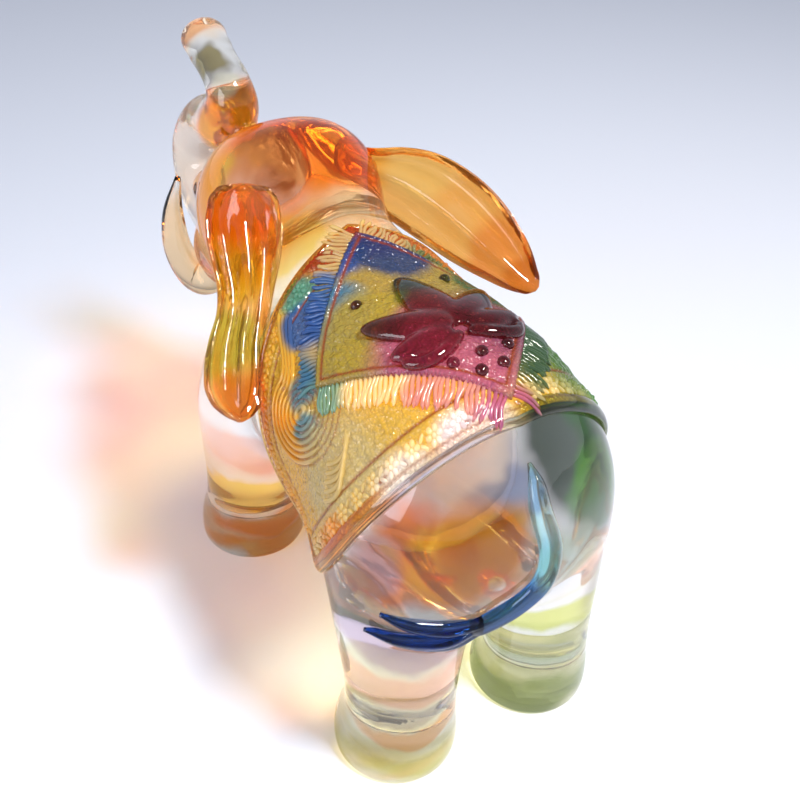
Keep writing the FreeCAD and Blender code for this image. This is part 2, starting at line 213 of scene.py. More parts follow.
def tubeRings(line, radii, across, around, flat=1.0):
    # Rings square to a line; across is a steady sideways direction at each point
    line, across = np.asarray(line, float), np.asarray(across, float)
    course = np.gradient(line, axis=0)
    course /= np.linalg.norm(course, axis=1, keepdims=True)
    up = np.cross(across, course)
    up /= np.linalg.norm(up, axis=1, keepdims=True)
    side = np.cross(course, up)
    turn = np.linspace(0, 2 * np.pi, around, endpoint=False)
    radii = np.asarray(radii, float)[:, None, None]
    ring = side[:, None] * np.cos(turn)[None, :, None]
    ring = ring + up[:, None] * np.sin(turn)[None, :, None] * flat
    return line[:, None] + ring * radii


# The solid casting: torso, neck, head, trunk and four legs flow into each other.
casting = {
    "step": 0.62,  # mesh spacing
    "stance": 19.3,  # half the width between left and right feet
    "footY": {"rearLeft": 61, "rearRight": 62, "frontLeft": -19, "frontRight": -7},
}
clay = Clay((-46, -92, -6), (46, 86, 134))
clay.add(oval((0, 48, 68), (30, 31, 33)), 1)
clay.add(oval((0, 24, 67), (30.5, 36, 32)), 10)
clay.add(oval((0, 0, 72), (26, 25, 30)), 10)
clay.add(oval((14, 59, 65), (15, 16, 20)), 8)
clay.add(oval((-14, 59, 65), (15, 16, 20)), 8)
clay.add(oval((0, -15, 86), (18.5, 16, 20)), 9)  # neck
for name, footY in casting["footY"].items():
    side = 1 if name.endswith("Left") else -1
    rear = name.startswith("rear")
    lean = -1 if rear else 1
    stations = [  # hip or shoulder down to the sole
        (side * 15, footY + lean * 9, 66, 15.5),
        (side * 17, footY + lean * 5, 52, 16),
        (side * 18.3, footY + lean * 2.5, 38, 14.2),
        (side * 19, footY + lean * 0.4, 22, 12.5),
        (side * casting["stance"], footY, 12, 12.6),
        (side * 19.5, footY - 0.9, 5, 13.9),
        (side * 19.5, footY - 0.9, 0, 13.9),
    ]
    clay.add(limb(stations), 8)
clay.add(oval((0, -32, 90), (22, 21, 23)), 8)
for side in (1, -1):
    clay.add(oval((side * 7.6, -27, 100.5), (13.2, 14.8, 13.6)), 9)  # forehead domes
    clay.add(oval((side * 12, -45.5, 95.5), (6.5, 6, 4.6)), 4)  # brows
    clay.add(oval((side * 12, -43, 79), (8.5, 9, 9.5)), 6)  # cheeks
trunkLine = [
    (0, -44, 84, 14),
    (1.5, -59.5, 79.5, 12.2),
    (2.8, -71.2, 83.5, 10.2),
    (3.6, -74.6, 92.5, 8.6),
    (3.8, -69, 101, 7.5),
    (3.4, -59.5, 105.8, 6.8),
    (3, -54.3, 111.4, 6.1),
    (3, -57, 117, 5.2),
    (3, -63.5, 120.3, 4.9),
    (3, -68.6, 122.8, 5.3),
]
clay.add(limb(trunkLine, 5, 1.2), 6)
clay.add(oval((3, -70.4, 123.9), (5.9, 4.4, 5.6), -35), 1.2)  # trunk lips
clay.add(oval((0.9, -74.8, 125.3), (1.3, 2.6, 1.5), -35), 0.8, cut=True)  # nostrils
clay.add(oval((5.1, -74.8, 125.3), (1.3, 2.6, 1.5), -35), 0.8, cut=True)
clay.add(oval((0, -46, 70), (7.5, 9.5, 5.5), 15), 3)  # lower lip
clay.add(oval((0, -57, 71.6), (6, 5, 1.6), 10), 1.5, cut=True)  # mouth


def floorCut(x, y, z):
    # the four soles are ground flat on one plane
    return z + 0 * x + 0 * y


clay.add((floorCut, np.array([-60, -60, -12.0]), np.array([60, 90, 2.0])), 1.0, cut=True)
body = clay.mesh("crystalCasting", casting["step"])
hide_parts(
    "torso", "head", "trunk_base", "trunk_riser", "trunk_tip", "lower_lip",
    "leg_front_left", "leg_front_right", "leg_rear_left", "leg_rear_right",
)
print("casting", len(body.data.polygons))


# The back as a map: along the spine in Y and down the flank in arc length.
back = {"axisZ": 66, "fromY": -12, "toY": 74, "rows": 130, "columns": 181, "reach": 128}
mapY = np.linspace(back["fromY"], back["toY"], back["rows"])
mapTurn = np.radians(np.linspace(-back["reach"], back["reach"], back["columns"]))


def measureBack():
    # how far the glass reaches from the axis, at every station and turn
    y, turn = np.meshgrid(mapY, mapTurn, indexing="ij")
    radius = np.full(y.shape, 60.0)
    ray = np.stack([np.sin(turn), np.zeros_like(turn), np.cos(turn)], -1)
    start = np.stack([np.zeros_like(y), y, np.full(y.shape, float(back["axisZ"]))], -1)
    for _ in range(14):
        spot = start + ray * radius[..., None]
        radius = radius - 0.85 * clay.at(spot.reshape(-1, 3)).reshape(y.shape)
    return radius


backRadius = measureBack()
stretch = np.hypot(np.gradient(backRadius, mapTurn, axis=1), backRadius)
arc = np.cumsum(stretch, axis=1) * (mapTurn[1] - mapTurn[0])
arc -= arc[:, back["columns"] // 2][:, None]
arcSteps = np.linspace(-76, 76, 305)
turnOfArc = np.array([np.interp(arcSteps, row, mapTurn) for row in arc])


def lookUp(table, row, column):
    row = np.clip(row, 0, table.shape[0] - 1.001)
    column = np.clip(column, 0, table.shape[1] - 1.001)
    i, j = row.astype(int), column.astype(int)
    u, v = row - i, column - j
    low = table[i, j] * (1 - v) + table[i, j + 1] * v
    high = table[i + 1, j] * (1 - v) + table[i + 1, j + 1] * v
    return low * (1 - u) + high * u


def skinPoint(s, y):
    row = (y - back["fromY"]) / (mapY[1] - mapY[0])
    turn = lookUp(turnOfArc, row, (s - arcSteps[0]) / (arcSteps[1] - arcSteps[0]))
    radius = lookUp(backRadius, row, (turn - mapTurn[0]) / (mapTurn[1] - mapTurn[0]))
    return np.stack([radius * np.sin(turn), y, back["axisZ"] + radius * np.cos(turn)], -1)


def onBack(s, y, lift=0.0):
    # A point on the glass at arc length s and station y, lifted square to the surface
    s, y = np.broadcast_arrays(np.asarray(s, float), np.asarray(y, float))
    middle = skinPoint(s, y)
    alongS = skinPoint(s + 0.6, y) - skinPoint(s - 0.6, y)
    alongY = skinPoint(s, y + 0.6) - skinPoint(s, y - 0.6)
    normal = np.cross(alongS, alongY)
    normal /= -np.linalg.norm(normal, axis=-1, keepdims=True)
    outward = middle - np.stack([0 * y, y, 0 * y + back["axisZ"]], -1)
    normal *= np.sign((normal * outward).sum(-1, keepdims=True))
    return middle + normal * np.asarray(lift)[..., None]


def bezier(corners, t):
    a, b, c, d = [np.array(p, float) for p in corners]
    t = np.asarray(t, float)[..., None]
    return (1 - t) ** 3 * a + 3 * (1 - t) ** 2 * t * b + 3 * (1 - t) * t**2 * c + t**3 * d


def coons(edges, u, v):
    # Patch between four edges: front to left, front to right, left to rear, right to rear
    frontLeft, frontRight, leftRear, rightRear = edges
    front, left = np.array(frontLeft[0], float), np.array(frontLeft[3], float)
    right, rear = np.array(frontRight[3], float), np.array(leftRear[3], float)
    u1, v1 = u[..., None], v[..., None]
    ruledV = bezier(frontLeft, u) * (1 - v1) + bezier(rightRear, u) * v1
    ruledU = bezier(frontRight, v) * (1 - u1) + bezier(leftRear, v) * u1
    corner = front * (1 - u1) * (1 - v1) + left * u1 * (1 - v1)
    corner = corner + right * (1 - u1) * v1 + rear * u1 * v1
    return ruledV + ruledU - corner


def fourEdges(spec):
    # front to left, front to right, left to rear, right to rear
    edges = []
    for edge in (spec["frontLeft"], spec["leftRear"]):
        edges += [edge, [(-s, y) for s, y in edge]]
    return edges


def layeredPatch(name, edges, count, heightOf, shadeAndSpecksOf, floorLift, stride=4):
    # Closed relief: a fine upper face, a coarser lower one, joined round the rim
    count = count - (count % stride)
    t = np.linspace(0, 1, count + 1)
    u, v = np.meshgrid(t, t, indexing="ij")
    sy = coons(edges, u, v)
    top = onBack(sy[..., 0], sy[..., 1], heightOf(sy[..., 0], sy[..., 1]))
    low = sy[::stride, ::stride]
    bottom = onBack(low[..., 0], low[..., 1], np.full(low.shape[:2], floorLift))
    n, m = count + 1, count // stride + 1
    start = n * n
    faces = []
    i, j = np.meshgrid(np.arange(count), np.arange(count), indexing="ij")
    i, j = i.ravel(), j.ravel()
    faces += np.stack([i * n + j, (i + 1) * n + j, (i + 1) * n + j + 1, i * n + j + 1], 1).tolist()
    i, j = np.meshgrid(np.arange(m - 1), np.arange(m - 1), indexing="ij")
    i, j = i.ravel(), j.ravel()
    lower = np.stack([i * m + j, i * m + j + 1, (i + 1) * m + j + 1, (i + 1) * m + j], 1) + start
    faces += lower.tolist()
    for k in range(m - 1):
        fine = list(range(k * stride, (k + 1) * stride + 1))
        faces.append([f * n for f in reversed(fine)] + [start + k * m, start + (k + 1) * m])
        far = [f * n + count for f in fine]
        faces.append(far + [start + (k + 1) * m + m - 1, start + k * m + m - 1])
        faces.append(fine + [start + k + 1, start + k])
        last = [count * n + f for f in reversed(fine)]
        faces.append(last + [start + (m - 1) * m + k, start + (m - 1) * m + k + 1])
    points = np.vstack([top.reshape(-1, 3), bottom.reshape(-1, 3)])
    piece = addMesh(name, points, faces)
    # each upper corner keeps a mask of painted shade for grooves and raised edges, with random specks
    # on the cloth
    hollowShadeAndSpecks = piece.data.attributes.new("hollowShadeAndSpecks", "FLOAT", "POINT")
    depth = np.zeros(len(points))
    depth[: n * n] = shadeAndSpecksOf(sy[..., 0], sy[..., 1]).ravel()
    hollowShadeAndSpecks.data.foreach_set("value", depth.astype(np.float32))
    return piece


scrolls = {
    "centre": (34, 32),
    "ridges": 6,
    "inner": 3.4,
    "tall": 1.12,  # length along the back for each unit down the flank
    "ridgeGap": 1.35,
    "ridgeRadius": 0.55,
    "wisps": 5,
}
cloth = {
    "frontLeft": [(0, 0.8), (20, 10), (55, 4), (62, 49)],
    "leftRear": [(62, 49), (50, 58), (25, 63.5), (0, 65.5)],
    "lift": 1.15,
    "seat": -0.5,  # the lower face is sunk into the casting
    "border": 5.2,
    "grain": 0.12,  # height of the cast stipple
    "count": 300,
}
clothEdges = fourEdges(cloth)
clothGrain = rng.normal(size=(701, 701))
clothGrain = (clothGrain + np.roll(clothGrain, 1, 0) + np.roll(clothGrain, 1, 1)) / 1.7


def grain(s, y, pitch):
    # the same stipple for any point of the back, one grain every pitch
    return lookUp(clothGrain, (y + 20) / pitch % 700, (s + 90) / pitch % 700)


def edgeGap(edges, s, y):
    # distance to the nearest of the edge curves
    gap = np.full(s.shape, 1e9)
    for edge in edges:
        for px, py in bezier(edge, np.linspace(0, 1, 60)):
            gap = np.minimum(gap, np.hypot(s - px, y - py))
    return gap


def clothHeight(s, y):
    gap = edgeGap(clothEdges, s, y)
    lift = np.full(s.shape, cloth["lift"])
    lift += 0.25 * np.exp(-(((gap - cloth["border"]) / 0.35) ** 2))  # bead beside the border
    lift -= 0.30 * np.exp(-(((gap - cloth["border"] - 0.9) / 0.4) ** 2))
    inside = gap > cloth["border"] + 1.4
    lift += np.where(inside, cloth["grain"], 0.35 * cloth["grain"]) * grain(s, y, 0.46)
    lift += 0.12 * np.sin(s / 4.1 + 1.1 * np.sin(y / 6.3)) * inside
    return np.where(gap < 0.3, 0.75 * cloth["lift"], lift)


def clothShadeAndSpecks(s, y):
    # painted shade: darker in the engraved line, beside the piping and between the cloud-scroll
    # ridges; random dark specks in the border band
    gap = edgeGap(clothEdges, s, y)
    cs, cy = scrolls["centre"]
    r = np.hypot(np.abs(s) - cs, (y - cy) / scrolls["tall"])
    ridgeAt = (r - scrolls["inner"] - scrolls["ridgeGap"] / 2) / scrolls["ridgeGap"]
    wave = 0.5 + 0.5 * np.cos(ridgeAt * 2 * np.pi)
    bowl = wave**2 * (r < scrolls["inner"] + scrolls["ridges"] * scrolls["ridgeGap"]) * (r > 2.5)
    line = np.exp(-(((gap - cloth["border"] - 0.9) / 0.3) ** 2))
    rimLine = np.exp(-(((gap - 1.0) / 0.25) ** 2))
    spots = np.clip(grain(s, y, 1.1) - 0.9, 0, 1) * (gap < cloth["border"] - 0.6) * (gap > 1.4)
    return np.clip(0.95 * line + 0.6 * rimLine + 0.55 * bowl + 0.8 * spots, 0, 1)


saddle = layeredPatch(
    "saddleCloth", clothEdges, cloth["count"], clothHeight, clothShadeAndSpecks, cloth["seat"]
)
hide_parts("saddle_cloth")
print("saddle cloth", len(saddle.data.polygons))


def piping(name, edges, lift, flat):
    # the band is narrow along the front edges and broad along the rear ones
    runs, widths = [], []
    for edge, forward, radius in edges:
        t = np.linspace(0, 1, 90, endpoint=False)
        runs.append(bezier(edge, t if forward else 1 - t))
        widths.append(np.full(90, radius))
    sy = np.vstack(runs)
    widths = np.concatenate(widths)
    widths = sum(np.roll(widths, k) for k in range(-4, 5)) / 9
    line = onBack(sy[:, 0], sy[:, 1], np.full(len(sy), lift))
    above = onBack(sy[:, 0], sy[:, 1], np.full(len(sy), lift + 1)) - line
    course = np.roll(line, -1, 0) - np.roll(line, 1, 0)
    side = np.cross(course, above)
    side /= np.linalg.norm(side, axis=1, keepdims=True)
    turn = np.linspace(0, 2 * np.pi, 14, endpoint=False)
    ring = side[:, None] * np.cos(turn)[None, :, None] * widths[:, None, None]
    ring = ring + above[:, None] * np.sin(turn)[None, :, None] * flat
    return addMesh(name, *ringSkin(line[:, None] + ring, loop=True))


rim = piping(
    "clothPiping",
    [
        (clothEdges[0], True, 1.0), (clothEdges[2], True, 2.1),
        (clothEdges[3], False, 2.1), (clothEdges[1], False, 1.0),
    ],
    0.7, 0.95,
)
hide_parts("cloth_piping")


# Border of small six-petalled rosettes, with two leaves between each and the next.
rosettes = {
    "spacing": 5.3,
    "inset": 2.9,
    "heart": 0.55,
    "heartRise": 0.8,
    "petals": 6,
    "petalReach": 1.15,
    "petalLength": 0.8,
    "petalWidth": 0.62,
    "petalRise": 0.55,
    "leaf": (1.0, 0.42, 0.4),  # length, width and rise
}


def dome(centreS, centreY, aim, length, width, rise, lift, rows=5, around=10):
    # low oval button lying on the back, long axis at angle aim
    turn = np.linspace(0, 2 * np.pi, around, endpoint=False)
    rings = []
    for k in range(rows):
        fall = k / (rows - 1) * math.pi / 2
        r = math.cos(fall) * 0.985 + 0.015
        a = length * r * np.cos(turn)
        b = width * r * np.sin(turn)
        s = centreS + a * math.cos(aim) - b * math.sin(aim)
        y = centreY + a * math.sin(aim) + b * math.cos(aim)
        rings.append(onBack(s, y, np.full(around, lift + rise * math.sin(fall))))
    under = onBack(
        centreS + length * np.cos(turn) * math.cos(aim) - width * np.sin(turn) * math.sin(aim),
        centreY + length * np.cos(turn) * math.sin(aim) + width * np.sin(turn) * math.cos(aim),
        np.full(around, lift - 0.3),
    )
    return ringSkin(np.array([under] + rings))


def edgeCourse(edge, count):
    # the edge curve, the run along it, and the sign of the side towards the middle
    line = bezier(edge, np.linspace(0, 1, count))
    run = np.concatenate([[0], np.cumsum(np.hypot(*np.diff(line, axis=0).T))])
    inward = np.sign(np.cross(line[-1] - line[0], np.array([0, 33.0]) - line[0]))
    return line, run, inward


def spotAlong(line, run, place):
    return np.array([np.interp(place, run, line[:, 0]), np.interp(place, run, line[:, 1])])


def borderPieces():
    skins = []
    lift = cloth["lift"] - 0.05
    for edge in clothEdges:
        line, run, inward = edgeCourse(edge, 400)
        count = int((run[-1] - 6) // rosettes["spacing"])
        first = (run[-1] - (count - 1) * rosettes["spacing"]) / 2
        for k in range(2 * count - 1):
            place = first + k * rosettes["spacing"] / 2
            spot = spotAlong(line, run, place)
            ahead = spotAlong(line, run, place + 0.5) - spot
            ahead /= np.linalg.norm(ahead)
            side = np.array([-ahead[1], ahead[0]]) * inward
            spot = spot + side * rosettes["inset"]
            aim = math.atan2(ahead[1], ahead[0])
            if k % 2:
                for tilt, out in ((0.7, 0.75), (-0.7, -0.75)):
                    skins.append(dome(*(spot + side * out), aim + tilt, *rosettes["leaf"], lift, 4, 8))
                continue
            heart = rosettes["heart"]
            skins.append(dome(*spot, aim, heart, heart, rosettes["heartRise"], lift))
            petal = (rosettes["petalLength"], rosettes["petalWidth"], rosettes["petalRise"])
            for turn in aim + np.arange(rosettes["petals"]) * 2 * math.pi / rosettes["petals"]:
                out = np.array([math.cos(turn), math.sin(turn)]) * rosettes["petalReach"]
                skins.append(dome(*(spot + out), turn, *petal, lift, 4, 8))
    return skins


border = addMesh("clothBorder", *joinSkins(borderPieces()))
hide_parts("cloth_border")
print("border", len(border.data.polygons))


# Cloud scrolls on each flank: bundles of fine ridges that curl into a spiral.
def ridge(path, radii, lift, around=8, flat=0.9):
    s, y = path[:, 0], path[:, 1]
    line = onBack(s, y, np.full(len(s), lift))
    above = onBack(s, y, np.full(len(s), lift + 1)) - line
    side = np.cross(np.gradient(line, axis=0), above)
    side /= np.linalg.norm(side, axis=1, keepdims=True)
    turn = np.linspace(0, 2 * np.pi, around, endpoint=False)
    ring = side[:, None] * np.cos(turn)[None, :, None]
    ring = ring + above[:, None] * np.sin(turn)[None, :, None] * flat
    return ringSkin(line[:, None] + ring * np.asarray(radii)[:, None, None])


def tapered(t, radius):
    return radius * np.minimum(1, np.minimum(t, 1 - t) * 9 + 0.22)


def scrollPieces():
    skins = []
    lift = cloth["lift"] + 0.05
    cs, cy = scrolls["centre"]
    t = np.linspace(0, 1, 70)
    for side in (1, -1):
        for k in range(scrolls["ridges"]):  # bowl of the cloud, open towards the back
            r = scrolls["inner"] + k * scrolls["ridgeGap"]
            turn = np.radians(-95 - 3 * k + (205 - 6 * k) * t)
            path = np.stack([cs + r * np.cos(turn), cy + scrolls["tall"] * r * np.sin(turn)], 1)
            path[:, 0] *= side
            skins.append(ridge(path, tapered(t, scrolls["ridgeRadius"]), lift))
            if k < 2:
                continue
            start = np.array([20.5 + 0.5 * k, 13.5 - 1.1 * k])  # trail of the cloud, up to the panel
            end = np.array([cs - 0.6, cy - scrolls["tall"] * r])
            path = bezier([start, start + (5, 6 - 0.3 * k), end - (5.5, -0.4), end], t)
            path[:, 0] *= side
            skins.append(ridge(path, tapered(t, scrolls["ridgeRadius"]), lift))
        turn = 0.4 + 2 * math.pi * 1.35 * t
        r = 0.4 + 2.3 * t
        path = np.stack([(cs + r * np.cos(turn)) * side, cy + r * np.sin(turn)], 1)
        skins.append(ridge(path, tapered(t, 0.6), lift))
        for k in range(scrolls["wisps"]):  # wisps behind the cloud
            start = np.array([29.5 + 1.5 * k, 45.8 + 0.9 * k])
            path = bezier([start, start + (2, 4), start + (6.5, 3.4), start + (8.5, -0.6)], t)
            path[:, 0] *= side
            skins.append(ridge(path, tapered(t, scrolls["ridgeRadius"]), lift))
    return skins


swirls = addMesh("scrollMedallions", *joinSkins(scrollPieces()))
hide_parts("scroll_medallions")


# Upper panel, its fringe, and the lotus on it.
panel = {
    "frontLeft": [(0, 3.4), (9, 12), (19, 22), (28, 33)],
    "leftRear": [(28, 33), (20, 42), (10, 53), (0, 63)],
    "lift": 2.0,
    "seat": 0.9,
    "grain": 0.17,
    "count": 200,
}
panelEdges = fourEdges(panel)


def panelHeight(s, y):
    gap = edgeGap(panelEdges, s, y)
    lift = np.full(s.shape, panel["lift"])
    lift += 0.35 * np.exp(-(((gap - 0.9) / 0.45) ** 2))  # raised hem
    lift += np.where(gap > 1.9, panel["grain"], 0.02) * grain(s, y, 0.55)
    return np.where(gap < 0.3, 1.5, lift)


def panelHollowShade(s, y):
    # painted shade: a dark line at the foot of the raised hem
    gap = edgeGap(panelEdges, s, y)
    return 0.95 * np.exp(-(((gap - 1.7) / 0.35) ** 2))


upper = layeredPatch(
    "upperPanel", panelEdges, panel["count"], panelHeight, panelHollowShade, panel["seat"]
)
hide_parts("upper_panel")
print("panel", len(upper.data.polygons))

tassels = {"pitch": 0.95, "length": 6.2, "radius": 0.42, "lift": 1.25}


def fringePieces():
    skins = []
    for edge in panelEdges:
        line, run, inward = edgeCourse(edge, 300)
        for place in np.arange(0.8, run[-1] - 0.6, tassels["pitch"]):
            ahead = spotAlong(line, run, place + 0.5) - spotAlong(line, run, place - 0.5)
            ahead /= np.linalg.norm(ahead)
            out = np.array([ahead[1], -ahead[0]]) * inward
            length = tassels["length"] * (0.86 + 0.22 * rng.random())
            sway = 0.5 * rng.normal()
            t = np.linspace(0, 1, 9)
            path = spotAlong(line, run, place) + out * (t * length - 0.4)[:, None]
            path = path + ahead * (sway * t**2 + 0.25 * np.sin(6 * t + place))[:, None]
            width = tassels["radius"] * (1.0 + 0.25 * t) * np.minimum(1, (1 - t) * 6 + 0.2)
            skins.append(ridge(path, width, tassels["lift"], 7, 1.15))
    return skins


fringe = addMesh("panelFringe", *joinSkins(fringePieces()))
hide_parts("panel_fringe")
print("fringe", len(fringe.data.polygons))

lotus = {
    "foot": (0, 46),
    "petals": [(-84, 13, 3.2), (84, 13, 3.2), (-46, 18, 4.2), (46, 18, 4.2), (0, 22, 4.9)],
    "rise": 2.1,
    "step": 0.3,
}


def petalShape(centre, axes, radii):
    def distance(x, y, z):
        dx, dy, dz = x - centre[0], y - centre[1], z - centre[2]
        a, b, c = (dx * axis[0] + dy * axis[1] + dz * axis[2] for axis in axes)
        b = b * (1 + 0.35 * a / radii[0])  # a petal narrows towards its tip
        return ovalField(a, b, c, radii)

    return distance, centre - max(radii), centre + max(radii)


def lotusClay():
    lump = Clay((-26, 12, 84), (26, 58, 110))
    for turn, reach, width in lotus["petals"]:
        aim = np.array([math.sin(math.radians(turn)), -math.cos(math.radians(turn))])
        middle = np.array(lotus["foot"]) + aim * (reach * 0.5 + 1.5)
        centre = onBack(middle[0], middle[1], panel["lift"] + 0.2)
        tip = onBack(*(middle + aim * 3), panel["lift"] + 0.2)
        above = onBack(middle[0], middle[1], panel["lift"] + 1.2)
        along = (tip - centre) / np.linalg.norm(tip - centre)
        up = (above - centre) / np.linalg.norm(above - centre)
        axes = (along, np.cross(up, along), up)
        lump.add(petalShape(centre, axes, (reach * 0.53, width, lotus["rise"])), 0.5)
    for side in (1, -1):  # curling leaves either side of the foot
        path = [(1.5, 47.5), (5.8, 49.6), (10, 49.6), (12.4, 47.2), (10.8, 45.6)]
        radii = [1.1, 1.3, 1.25, 1.0, 0.9]
        stations = []
        for (s, y), r in zip(path, radii):
            stations.append((*onBack(side * s, y, panel["lift"] + 0.3), r))
        lump.add(limb(stations, 5, 0.8), 0.8)
    return lump


emblem = lotusClay().mesh("lotusEmblem", lotus["step"])
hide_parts("lotus_emblem")

dewdrops = {
    "places": [
        (-6, 52.6), (-2.4, 56.4), (0, 52.8), (2.4, 56.4), (6, 52.6), (-10.5, 24), (10.5, 24),
    ],
    "turn": 0.3,
    "size": (1.25, 1.25, 1.15),  # length, width and rise
}


def dropPieces():
    turn, size = dewdrops["turn"], dewdrops["size"]
    return [dome(*spot, turn, *size, panel["lift"], 7, 16) for spot in dewdrops["places"]]


drops = addMesh("panelDrops", *joinSkins(dropPieces()))
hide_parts("panel_drops")
print("lotus and drops")


# Ears: long leaves with a rolled rim and folds from root to lobe. The right one is
# lifted like a wing, the left one lies back along the shoulder. Edges are (run, inner
# edge, outer edge) in millimetres.
earGlass = {"thick": 1.25, "roll": 0.75, "rollAt": 1.3, "rollWide": 1.2, "cup": 1.2}
ears = {
    "earRight": {
        "node": "ear_right",
        "slot": "amber_crystal",
        "root": (-14.5, -28, 102),
        "along": (-0.43, 0.83, -0.35),
        "out": (-0.66, 0, 0.75),
        "edges": [
            (-3, -2, 2), (-2, -3.6, 4), (0, -4.8, 5.8), (5, -4.8, 9), (10, -4.2, 12.6),
            (16, -3.6, 15.6), (27, -3.2, 17.4), (38, -2.6, 16.2), (46, -1.4, 13.4),
            (51, -0.4, 10.8), (54.5, 0.8, 8.2), (56.6, 2, 6.4), (57.6, 3.4, 4.8),
        ],
        "folds": 1.7,
        "depth": 2.2,
        "curl": 3.0,
        "rim": 1.2,
    },
    "earLeft": {
        "node": "ear_left",
        "slot": "honey_crystal",
        "root": (18.2, -14.4, 105.4),
        "along": (0.32, 0.68, -0.66),
        "out": (0.8, -0.45, 0.2),
        "edges": [
            (-4, -1.6, 2.6), (-3.5, -4, 5), (-2, -6, 7.2), (2, -7.6, 8.8), (7, -7.9, 9.1),
            (13, -7.2, 8.2), (19, -5.8, 7), (25, -4.6, 7.2), (31, -3.6, 9), (38, -3.2, 10.2),
            (43, -2.4, 9.8), (46.5, -1.2, 7.6), (48.4, 0.8, 4.8), (49, 2, 3.4),
        ],
        "folds": 1.9,
        "depth": 1.7,
        "curl": 2.2,
        "rim": 2.6,
    },
}


def smoothAt(u, runs, values):
    # a smooth curve through a table, so outlines have no corners
    slopes = np.gradient(values, runs)
    k = int(np.clip(np.searchsorted(runs, u) - 1, 0, len(runs) - 2))
    span = runs[k + 1] - runs[k]
    t = (u - runs[k]) / span
    start = values[k] * (1 + 2 * t) + span * slopes[k] * t
    end = values[k + 1] * (3 - 2 * t) - span * slopes[k + 1] * (1 - t)
    return start * (1 - t) ** 2 + end * t**2


def earPiece(name, spec):
    along = np.array(spec["along"], float)
    along /= np.linalg.norm(along)
    out = np.array(spec["out"], float)
    out -= along * (out @ along)
    out /= np.linalg.norm(out)
    face = np.cross(along, out)
    face *= np.sign(face[1])  # the side that looks back
    runs, inner, outer = (np.array(column, float) for column in zip(*spec["edges"]))
    turn = np.linspace(0, 2 * np.pi, 96, endpoint=False)
    rings = []
    for step in np.linspace(0, np.pi, 120):
        u = runs[0] + (runs[-1] - runs[0]) * (1 - math.cos(step)) / 2
        low, high = smoothAt(u, runs, inner), smoothAt(u, runs, outer)
        middle, half = (low + high) / 2, (high - low) / 2
        share = np.cos(turn)
        v = middle + half * share
        fromRim = half * (1 - np.abs(share))
        size = min(1, half / 7)
        roll = np.exp(-(((fromRim - earGlass["rollAt"]) / earGlass["rollWide"]) ** 2))
        thick = (earGlass["thick"] + earGlass["roll"] * roll) * (0.55 + 0.45 * size)
        w = thick * np.sign(np.sin(turn)) * np.abs(np.sin(turn)) ** 0.75
        progress = (u - runs[0]) / (runs[-1] - runs[0])
        fade = math.sin(math.pi * min(1, progress * 1.02)) ** 0.5
        wave = np.cos(2 * np.pi * spec["folds"] * (share + 1) / 2 + 2.2 * progress)
        w = w + spec["depth"] * size * fade * wave
        w = w + earGlass["cup"] * size * np.abs(share) ** 4
        w = w + spec["curl"] * (progress - 0.45) ** 2 * 2
        w = w + spec["rim"] * math.exp(-(((u - runs[0]) / 4.5) ** 2))  # the rolled upper rim
        rings.append(np.array(spec["root"]) + u * along + np.outer(v, out) + np.outer(w, face))
    piece = addMesh(name, *ringSkin(rings))
    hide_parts(spec["node"])
    return piece


earLeft = earPiece("earLeft", ears["earLeft"])
earRight = earPiece("earRight", ears["earRight"])
print("ears")

# Tusks, eyes and toenails.
tuskLine = [
    (12.5, -40, 75.5, 4.7),
    (17.6, -49, 67.6, 4.6),
    (21.6, -53.1, 74.5, 3.9),
    (22.4, -52.9, 86, 2.8),
    (20.4, -51.7, 97, 0.7),
]


def tuskPiece(name, side):
    line = throughPoints(tuskLine, 10) * (side, 1, 1, 1)
    across = np.tile([0.0, -0.5 * side, 0.25], (len(line), 1)) + np.array([side, 0, 0])
    piece = addMesh(name, *ringSkin(tubeRings(line[:, :3], line[:, 3], across, 24)))
    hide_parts("tusk_left" if side > 0 else "tusk_right")
    return piece


tuskLeft = tuskPiece("tuskLeft", 1)
tuskRight = tuskPiece("tuskRight", -1)


def knob(centre, axes, rows=12, around=24):
    # closed rounded button with three half-axes given as vectors
    centre = np.array(centre, float)
    turn = np.linspace(0, 2 * np.pi, around, endpoint=False)
    rings = []
    for k in range(1, rows):
        fall = math.pi * k / rows
        ring = np.outer(np.cos(turn), axes[0]) + np.outer(np.sin(turn), axes[1])
        rings.append(centre + math.sin(fall) * ring - math.cos(fall) * np.array(axes[2]))
    return ringSkin(rings)


eyeShape = {
    "spot": (16.7, -44.6, 93.5),
    "aim": (0.8, -0.58, 0.14),
    "ball": (2.3, 1.6, 2.0),
    "lid": (3.0, 2.0),
    "lidRadius": 0.62,
}


def eyePiece(name, side):
    out = np.array(eyeShape["aim"]) * (side, 1, 1)
    out /= np.linalg.norm(out)
    up = np.array([0, 0.1, 1.0]) - out * 0.14
    up /= np.linalg.norm(up)
    fore = np.cross(up, out)
    spot = np.array(eyeShape["spot"]) * (side, 1, 1)
    long, tall, deep = eyeShape["ball"]
    ball = knob(spot, [fore * long, up * tall, out * deep])
    lidLong, lidTall = eyeShape["lid"]
    lid = [(math.cos(a) * lidLong, math.sin(a) * lidTall) for a in np.linspace(0, math.pi, 20)]
    line = np.array([spot + fore * p[0] + up * (p[1] + 0.2) + out * 0.5 for p in lid])
    radii = eyeShape["lidRadius"] * np.sin(np.linspace(0.15, math.pi - 0.15, 20)) + 0.15
    rings = tubeRings(line, radii, np.tile(out, (20, 1)), 10)
    piece = addMesh(name, *joinSkins([ball, ringSkin(rings)]))
    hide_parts("eye_left" if side > 0 else "eye_right")
    return piece


eyes = [eyePiece("eyeLeft", 1), eyePiece("eyeRight", -1)]

nails = {
    "count": 4,
    "step": 30,  # degrees from one nail to the next
    "reach": 13.6,
    "height": 3.6,
    "tall": 3.1,
    "wide": 2.7,
    "proud": 1.5,
}


